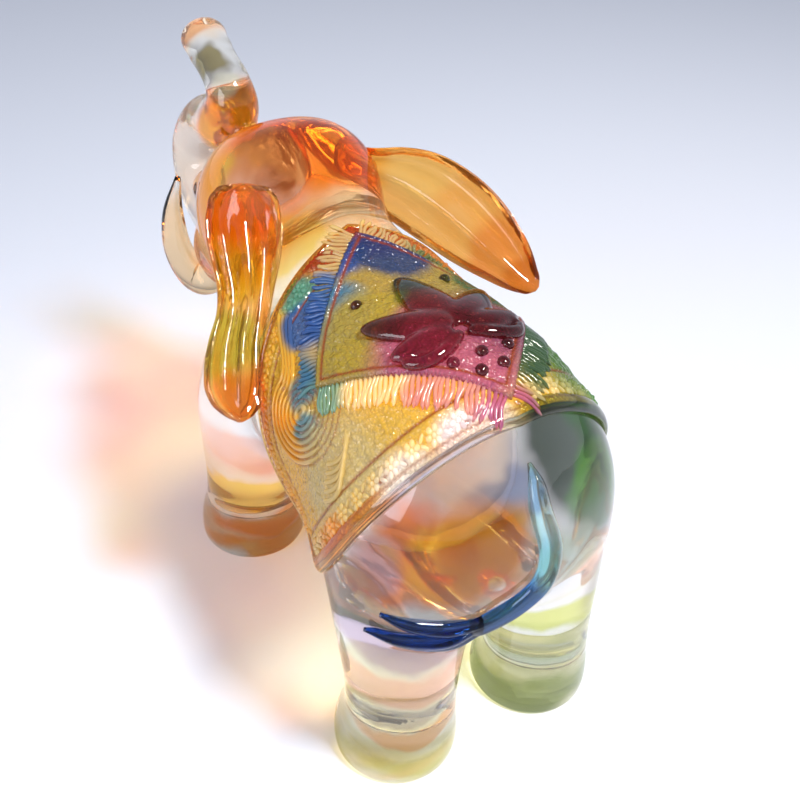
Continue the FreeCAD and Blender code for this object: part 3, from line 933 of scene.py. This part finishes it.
def nailPieces(name, node, side, footY):
    skins = []
    for k in range(nails["count"]):
        turn = math.radians((k - (nails["count"] - 1) / 2) * nails["step"])
        out = np.array([math.sin(turn), -math.cos(turn), 0.12])
        across = np.array([math.cos(turn), math.sin(turn), 0])
        spot = np.array([side * casting["stance"], footY, nails["height"]]) + out * nails["reach"]
        axes = [across * nails["wide"], np.array([0, 0, nails["tall"]]), out * nails["proud"]]
        skins.append(knob(spot, axes, 10, 20))
    piece = addMesh(name, *joinSkins(skins))
    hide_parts(node)
    return piece


toes = []
for name, footY in casting["footY"].items():
    side = 1 if name.endswith("Left") else -1
    node = "toenails_" + ("rear_" if name.startswith("rear") else "front_")
    node += "left" if side > 0 else "right"
    toes.append(nailPieces("toenails" + name[0].upper() + name[1:], node, side, footY))

# Tail down the rump, its tuft a split leaf curled to the left.
tailLine = [
    (0.5, 71.2, 88.4, 0.4), (0.6, 74.4, 85.4, 1.7), (0.9, 77.0, 81, 2.3), (-1.2, 79.4, 71.5, 2.5),
    (-0.8, 79.2, 62.5, 2.4), (4.2, 78, 56.4, 2.3), (10.5, 76.2, 53, 2.4), (13.5, 75.4, 52.4, 2.1),
]
tuftLeaves = [
    [(11, 76, 53.2, 1.9), (18, 74.2, 54.2, 2.7), (25, 71, 56, 2.0), (30, 67.6, 58, 0.45)],
    [(11, 76, 51.6, 1.8), (18, 74.4, 50.6, 2.8), (26, 70.4, 51.2, 2.2), (32.5, 65.8, 53, 0.45)],
]


def ropeSkin(line, steps, groove, count, around=28, flat=1.0):
    # a tapering cord of glass with shallow grooves along it
    line = throughPoints(line, steps)
    across = np.tile([1.0, 0.35, 0.2], (len(line), 1))
    rings = tubeRings(line[:, :3], line[:, 3], across, around, flat)
    turn = np.linspace(0, 2 * np.pi, around, endpoint=False)
    swell = 1 + groove * np.cos(count * turn)[None, :, None]
    middle = line[:, None, :3]
    return ringSkin(middle + (rings - middle) * swell)


tail = addMesh("tailRope", *ropeSkin(tailLine, 10, 0.05, 5))
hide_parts("tail")
leaves = [ropeSkin(leaf, 12, 0.09, 6, 36, 0.8) for leaf in tuftLeaves]
tuft = addMesh("tailTuft", *joinSkins(leaves))
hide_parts("tail_tuft")
print("members and trim")


# Glasses. Colours are sRGB codes, turned to linear values here.
def linear(hexCode, depth=1.0):
    # depth above one darkens the colour as a thicker piece of the same glass would
    out = []
    for i in (0, 2, 4):
        c = int(hexCode[i : i + 2], 16) / 255
        c = c / 12.92 if c <= 0.04045 else ((c + 0.055) / 1.055) ** 2.4
        out.append(c**depth)
    return (*out, 1)


def addNode(tree, kind, settings=None, links=None):
    made = tree.nodes.new("ShaderNode" + kind)
    for key, value in (settings or {}).items():
        if isinstance(key, str) and hasattr(made, key):
            setattr(made, key, value)
        else:
            made.inputs[key].default_value = value
    for key, socket in (links or {}).items():
        tree.links.new(socket, made.inputs[key])
    return made


def startGlass(name, settings):
    material = bpy.data.materials.new(name)
    material.use_nodes = True
    tree = material.node_tree
    shader = tree.nodes["Principled BSDF"]
    for key, value in settings.items():
        shader.inputs[key].default_value = value
    return material, tree, shader


lampGlow = {"share": 0.5, "hue": "F0E2A0"}


def finishGlass(tree, shader, colour, bump):
    tree.links.new(colour, shader.inputs["Base Color"])
    tree.links.new(bump, shader.inputs["Normal"])
    # lamps shine through the glass and carry its colour on to the floor
    pale = addNode(
        tree, "Mix",
        {"data_type": "RGBA", 0: lampGlow["share"], 7: linear(lampGlow["hue"])}, {6: colour},
    )
    through = addNode(tree, "BsdfTransparent", None, {"Color": pale.outputs[2]})
    path = addNode(tree, "LightPath")
    mix = addNode(
        tree, "MixShader", None,
        {0: path.outputs["Is Shadow Ray"], 1: shader.outputs[0], 2: through.outputs[0]},
    )
    tree.links.new(mix.outputs[0], tree.nodes["Material Output"].inputs["Surface"])


def tintZones(tree, zones, base, swirl, depth=1.0):
    # Coloured frit melts into soft clouds: each zone is (centre mm, radius mm, colour,
    # strength), and a fifth number below one spreads it sideways into a band
    place = addNode(tree, "TexCoord").outputs["Object"]
    wobble = addNode(
        tree, "TexNoise", {"Scale": 45.0, "Detail": 3.0, "Roughness": 0.5}, {"Vector": place}
    )
    shift = addNode(
        tree, "VectorMath",
        {"operation": "MULTIPLY_ADD", 1: (swirl * 4,) * 3, 2: (-swirl * 2,) * 3},
        {0: wobble.outputs["Color"]},
    )
    moved = addNode(tree, "VectorMath", {"operation": "ADD"}, {0: place, 1: shift.outputs[0]})
    colour = None
    for centre, radius, hexCode, strength, *spread in zones:
        spread = spread[0] if spread else 1.0
        offset = addNode(
            tree, "VectorMath", {"operation": "SUBTRACT", 1: tuple(c * mm for c in centre)},
            {0: moved.outputs[0]},
        )
        offset = addNode(
            tree, "VectorMath", {"operation": "MULTIPLY", 1: (spread, spread, 1)},
            {0: offset.outputs[0]},
        )
        gap = addNode(tree, "VectorMath", {"operation": "LENGTH"}, {0: offset.outputs[0]})
        share = addNode(
            tree, "MapRange",
            {
                "interpolation_type": "SMOOTHSTEP", "From Min": radius * mm * 1.3,
                "From Max": radius * mm * 0.8, "To Min": 0.0, "To Max": strength,
            },
            {"Value": gap.outputs["Value"]},
        )
        mix = addNode(tree, "Mix", {"data_type": "RGBA"}, {0: share.outputs[0]})
        if colour is None:
            mix.inputs[6].default_value = linear(base, depth)
        else:
            tree.links.new(colour, mix.inputs[6])
        mix.inputs[7].default_value = linear(hexCode, depth)
        colour = mix.outputs[2]
    return colour, place


def waveOfGlass(tree, place, height, size):
    # fire-polished glass keeps faint waves from the mould
    noise = addNode(tree, "TexNoise", {"Scale": 1 / (size * mm), "Detail": 2.0}, {"Vector": place})
    return addNode(
        tree, "Bump", {"Strength": 1.0, "Distance": height * mm}, {"Height": noise.outputs[0]}
    ).outputs[0]


castingZones = [
    ((0, 20, 90), 34, "F6E3A8", 0.6),
    ((22, 63, 88), 12, "C2C6E6", 0.92),
    ((11, 68, 91), 8, "E0DCE8", 0.8),
    ((7, 74, 84), 7, "8E9CC8", 0.85),
    ((25, 70, 72), 13, "F0840C", 0.97),
    ((15, 76, 73), 12, "FFB41C", 0.98),
    ((30, 62, 68), 8, "C09AA6", 0.8),
    ((-13, 70, 88), 14, "12380E", 0.97),
    ((-27, 60, 84), 15, "245C18", 0.95),
    ((-30, 58, 60), 12, "D8E8CC", 0.85),
    ((-18, 74, 76), 10, "4C8A24", 0.92),
    ((-9, 79, 63), 9, "D6EAC8", 0.85),
    ((-17, 66, 33), 5, "D2D818", 0.9, 0.3),
    ((-18, 64, 20), 5, "C8D0BC", 0.7, 0.3),
    ((-17, 64, 7), 8, "8EA45C", 0.9, 0.4),
    # painted reflection: a lilac band at the top of the rear-left leg
    ((22, 66, 48), 7, "BC9CC0", 0.8, 0.4),
    ((22, 66, 34), 6, "F4B4A8", 0.85, 0.35),
    # painted shade: a grey line in the rear-left ankle crease
    ((22, 66, 24), 3, "9C8C9C", 0.75, 0.2),
    ((22, 68, 16), 4, "F0A43C", 0.85, 0.3),
    ((22, 64, 4), 5, "CCC83A", 0.9, 0.3),
    ((24, -6, 44), 10, "F2B8A4", 0.85, 0.6),
    ((22, -12, 25), 5, "F8D83A", 0.95, 0.3),
    # the front-left foot is gold glass, painted paler here to stand in for light coming through the
    # foot
    ((21, -14, 13), 6, "F8A62A", 0.95, 0.4),
    ((21, -14, 3), 5, "FABA4C", 0.95, 0.3),
    ((-19, -8, 20), 22, "F2BC64", 0.85),
    ((1, -5, 104), 10, "F6E2A0", 0.9),
    ((13, -6, 100), 9, "F4D43C", 0.9),
    ((0, -36, 94), 28, "F4A416", 0.98),
    ((2, -24, 110), 15, "EA860C", 0.97),
    ((5, -28, 111), 9, "CC5A08", 0.92),
    ((19, -30, 104), 8, "F6BC2C", 0.85),
    ((-13, -20, 106), 8, "F0982A", 0.85),
    ((0, -46, 76), 15, "F4AC44", 0.92),
    ((9, -68, 93), 13, "F6DEC4", 0.92),
    ((4, -52, 108), 10, "F49410", 0.98),
    ((5, -53, 118), 4.5, "F2ECD0", 0.9),
    ((4, -61, 122), 4.2, "8C7A14", 0.95),
    ((4, -70, 127), 6, "FAE6CC", 0.9),
    ((3, -77, 126), 4, "F0A03C", 0.9),
]


def castCrystal():
    # Lead crystal, kiln cast and acid polished: bright, deep, softly clouded with colour
    material, tree, shader = startGlass(
        "castLeadCrystal", {"Transmission Weight": 0.92, "IOR": 1.52, "Roughness": 0.035}
    )
    colour, place = tintZones(tree, castingZones, "F5F5F3", 0.005, 1.35)
    finishGlass(tree, shader, colour, waveOfGlass(tree, place, 0.22, 14))
    return material


def tintedCrystal(name, zones, base, roughness=0.02, wave=0.2, size=9, clear=1.0):
    # clear or tinted lead crystal of one hue, fire polished
    material, tree, shader = startGlass(
        name, {"Transmission Weight": clear, "IOR": 1.52, "Roughness": roughness}
    )
    colour, place = tintZones(tree, zones, base, 0.003)
    finishGlass(tree, shader, colour, waveOfGlass(tree, place, wave, size))
    return material


def stippledCrystal(name, zones, base, transmission, roughness, grit):
    # The cloth's ground was pressed with a fine punch, so the glass sparkles and turns milky
    material, tree, shader = startGlass(
        name, {"Transmission Weight": transmission, "IOR": 1.52, "Roughness": roughness}
    )
    colour, place = tintZones(tree, zones, base, 0.003)
    cells = addNode(tree, "TexVoronoi", {"Scale": 1 / (grit * mm)}, {"Vector": place})
    pits = addNode(
        tree, "MapRange", {"From Min": 0.1, "From Max": 0.75, "To Min": 1.0, "To Max": 0.45},
        {"Value": cells.outputs["Distance"]},
    )
    shade = addNode(
        tree, "Mix", {"data_type": "RGBA", "blend_type": "MULTIPLY", 0: 0.4},
        {6: colour, 7: pits.outputs[0]},
    )
    # painted shade: the mask turns the glass dark reddish brown in grooves and beside raised edges,
    # and in random specks on the cloth
    hollowShadeAndSpecks = addNode(tree, "Attribute", {"attribute_name": "hollowShadeAndSpecks"}).outputs["Fac"]
    line = addNode(
        tree, "Mix", {"data_type": "RGBA", 7: linear("8E3A12")}, {0: hollowShadeAndSpecks, 6: shade.outputs[2]}
    )
    bump = addNode(
        tree, "Bump", {"Strength": 1.0, "Distance": 0.2 * mm}, {"Height": cells.outputs["Distance"]}
    )
    finishGlass(tree, shader, line.outputs[2], bump.outputs[0])
    return material


clothZones = [
    ((24, 12, 86), 20, "E0B43A", 0.95),
    ((30, 30, 66), 18, "EDB83A", 0.95),
    ((31, 8, 66), 14, "E8942A", 0.95),
    ((20, 2, 96), 9, "E4C452", 0.85),
    ((17, 10, 98), 5, "2E9C94", 0.85),
    ((19, 17, 93), 5.5, "1B5FA8", 0.92),
    ((25, 31, 86), 4.5, "2C86A4", 0.85),
    ((28, 38, 81), 4.5, "3C8FA8", 0.85),
    ((6, 2, 102), 9, "A83A12", 0.95),
    ((-8, 3, 102), 10, "B84E16", 0.92),
    ((26, 50, 78), 12, "D9C27E", 0.9),
    ((22, 66, 84), 9, "F6EFEA", 0.95),
    ((9, 69, 95), 9, "F2E8F0", 0.95),
    ((29, 56, 68), 8, "EFA63C", 0.9),
    ((-24, 40, 90), 22, "3E7A2C", 0.95),
    ((-30, 50, 72), 20, "5E9448", 0.9),
    ((-24, 6, 92), 16, "C9782A", 0.9),
]
panelZones = [
    ((0, 4, 104), 9, "A8380E", 0.95),
    ((8, 9, 101), 7, "1D4FA4", 0.95),
    ((-5, 12, 103), 9, "173C78", 0.95),
    ((16, 22, 96), 8, "2A7FB0", 0.9),
    ((14, 32, 99), 11, "B4A23A", 0.92),
    ((4, 48, 102), 15, "B85C84", 0.95),
    ((-14, 44, 99), 14, "944C6C", 0.92),
    ((-20, 28, 95), 9, "3E6A44", 0.9),
]
fringeZones = [
    ((17, 16, 95), 9, "1F63B4", 0.95),
    ((25, 28, 84), 9, "2B7EAE", 0.95),
    ((24, 38, 86), 7, "7FB0A0", 0.9),
    ((18, 48, 93), 9, "F0DCA8", 0.95),
    ((9, 58, 97), 9, "DA9A98", 0.95),
    ((1, 65, 97), 7, "B05C8C", 0.95),
    ((-16, 50, 94), 15, "2E5C3C", 0.95),
    ((-20, 20, 94), 14, "3A7A58", 0.9),
]
emblemZones = [
    ((0, 42, 104), 10, "782638", 0.95),
    ((8, 48, 101), 8, "8C2E5A", 0.9),
    ((9, 28, 103), 5, "3F7A2E", 0.9),
    ((-14, 31, 101), 8, "1F5A34", 0.95),
    ((-1, 23, 105), 8, "17386E", 0.97),
]
earZones = [
    ((26, -8, 98), 9, "E8B018", 0.9),
    ((20, -16, 104), 8, "EE8A14", 0.95),
    ((34, 4, 84), 9, "C8B43C", 0.9),
    ((32, 12, 74), 7, "E07A1C", 0.95),
    ((-18, -24, 104), 8, "F4A83A", 0.9),
    ((-27, -12, 108), 9, "F8C468", 0.8),
    # painted highlight: a pale cream patch in the middle of the right ear
    ((-30, 4, 104), 7, "FBE0A8", 0.7),
    ((-36, 2, 97), 11, "F4A848", 0.5),
    ((-38, 12, 90), 10, "E88430", 0.7),
    ((-41, 18, 86), 6, "D8701C", 0.7),
]
# One glass for each kind of piece: all are lead crystal and differ in frit and polish.
looks = {
    "crystal": castCrystal(),
    "ears": tintedCrystal("foldedAmberCrystal", earZones, "F6BA62", 0.025, 0.35, 7, 0.95),
    "clear": tintedCrystal("clearLeadCrystal", [((17, -48, 76), 16, "F2C888", 0.8)], "F4F3EE"),
    "tail": tintedCrystal(
        "tealLeadCrystal",
        [((0, 74, 86), 12, "BFE6F0", 0.9), ((8, 77, 54), 12, "1F4F9C", 0.9)],
        "8CCBE0",
    ),
    "piping": tintedCrystal(
        "honeyLeadCrystal",
        [
            ((14, 62, 90), 18, "F2EEF0", 0.95), ((28, 58, 72), 12, "F2B45C", 0.9),
            ((-20, 54, 88), 24, "7FA040", 0.9),
        ],
        "EFC060",
    ),
    "tuft": tintedCrystal("cobaltCrystal", [((24, 71, 54), 12, "1C49A8", 0.95)], "2C6FB4", 0.04),
    "cloth": stippledCrystal("stippledGoldCrystal", clothZones, "ECBE48", 0.4, 0.14, 0.62),
    "panel": stippledCrystal("stippledPlumCrystal", panelZones, "B09A4C", 0.4, 0.13, 0.62),
    "fringe": tintedCrystal("ribbedFringeCrystal", fringeZones, "D8C080", 0.12, clear=0.5),
    "border": tintedCrystal("reliefGoldCrystal", clothZones, "F6E0A0", 0.1, clear=0.5),
    "emblem": tintedCrystal("maroonCrystal", emblemZones, "5A2230", 0.03),
    "umber": tintedCrystal("umberCrystal", [((17, -45, 93), 6, "3A1806", 0.9)], "4A220C"),
}
for piece, look in (
    (body, "crystal"), (earLeft, "ears"), (earRight, "ears"), (tuskLeft, "clear"),
    (tuskRight, "clear"), (tail, "tail"), (tuft, "tuft"), (saddle, "cloth"), (rim, "piping"),
    (border, "border"), (swirls, "border"), (upper, "panel"), (fringe, "fringe"),
    (emblem, "emblem"), (drops, "emblem"), (eyes[0], "umber"), (eyes[1], "umber"),
    (toes[0], "clear"), (toes[1], "clear"), (toes[2], "piping"), (toes[3], "piping"),
):
    piece.data.materials.append(looks[look])
print("materials")


# Studio: pale sweep, two soft lamps, and the camera behind and above the left flank.
def floorPiece():
    material = bpy.data.materials.new("paleSweep")
    material.use_nodes = True
    shader = material.node_tree.nodes["Principled BSDF"]
    shader.inputs["Base Color"].default_value = linear("E4E9F8")
    shader.inputs["Roughness"].default_value = 0.6
    mesh = bpy.data.meshes.new("studioFloor")
    size = 3.0
    corners = [(-size, -size, 0), (size, -size, 0), (size, size, 0), (-size, size, 0)]
    mesh.from_pydata(corners, [], [(0, 1, 2, 3)])
    mesh.materials.append(material)
    floor = bpy.data.objects.new("studioFloor", mesh)
    bpy.context.scene.collection.objects.link(floor)


lamps = {
    "keySoftbox": {
        "place": (-0.12, 0.3, 0.64), "size": (0.12, 0.1), "power": 5.6, "colour": "FFFCF4",
    },
    "sideSoftbox": {
        "place": (0.6, 0.1, 0.3), "size": (0.3, 0.3), "power": 1.6, "colour": "F4F8FF",
    },
}
lampAim = Vector((0, 0, 0.05))


def lamp(name, spec):
    data = bpy.data.lights.new(name, "AREA")
    data.shape = "RECTANGLE"
    data.size, data.size_y = spec["size"]
    data.energy = spec["power"]
    data.color = linear(spec["colour"])[:3]
    made = bpy.data.objects.new(name, data)
    made.location = spec["place"]
    made.rotation_euler = (lampAim - Vector(spec["place"])).to_track_quat("-Z", "Y").to_euler()
    bpy.context.scene.collection.objects.link(made)


floorPiece()
world = bpy.data.worlds.new("paleStudio")
world.use_nodes = True
worldTree = world.node_tree
sky = worldTree.nodes["Background"]
aim = addNode(worldTree, "TexCoord").outputs["Generated"]
height = addNode(worldTree, "SeparateXYZ", None, {0: aim}).outputs["Z"]
ramp = addNode(
    worldTree, "MapRange",
    {
        "interpolation_type": "SMOOTHSTEP",
        "From Min": -0.1, "From Max": 0.8, "To Min": 0.92, "To Max": 0.28,
    },
    {"Value": height},
)
sky.inputs[0].default_value = linear("E2E9F8")
worldTree.links.new(ramp.outputs[0], sky.inputs[1])
bpy.context.scene.world = world
for name, spec in lamps.items():
    lamp(name, spec)
print("studio")

eye = {  # degrees, metres, and millimetres for the lens
    "azimuth": 146.8,
    "elevation": 39.0,
    "distance": 0.2249,
    "target": (0.0019, 0.0283, 0.0736),
    "roll": 2.8,
    "lens": 44.96,
}
az, el = math.radians(eye["azimuth"]), math.radians(eye["elevation"])
away = Vector((math.sin(az) * math.cos(el), -math.cos(az) * math.cos(el), math.sin(el)))
right = (-away).cross(Vector((0, 0, 1))).normalized()
up = right.cross(-away)
roll = math.radians(eye["roll"])
rightRolled = right * math.cos(roll) + up * math.sin(roll)
upRolled = up * math.cos(roll) - right * math.sin(roll)
turn = Matrix((rightRolled, upRolled, away)).transposed().to_4x4()
cameraData = bpy.data.cameras.new("studioCamera")
cameraData.lens = eye["lens"]
cameraData.sensor_width = 36
cameraData.clip_start = 0.01
camera = bpy.data.objects.new("studioCamera", cameraData)
camera.matrix_world = Matrix.Translation(Vector(eye["target"]) + away * eye["distance"]) @ turn
bpy.context.scene.collection.objects.link(camera)
bpy.context.scene.camera = camera

bpy.context.scene.view_settings.view_transform = "Standard"  # keeps the glass colours full
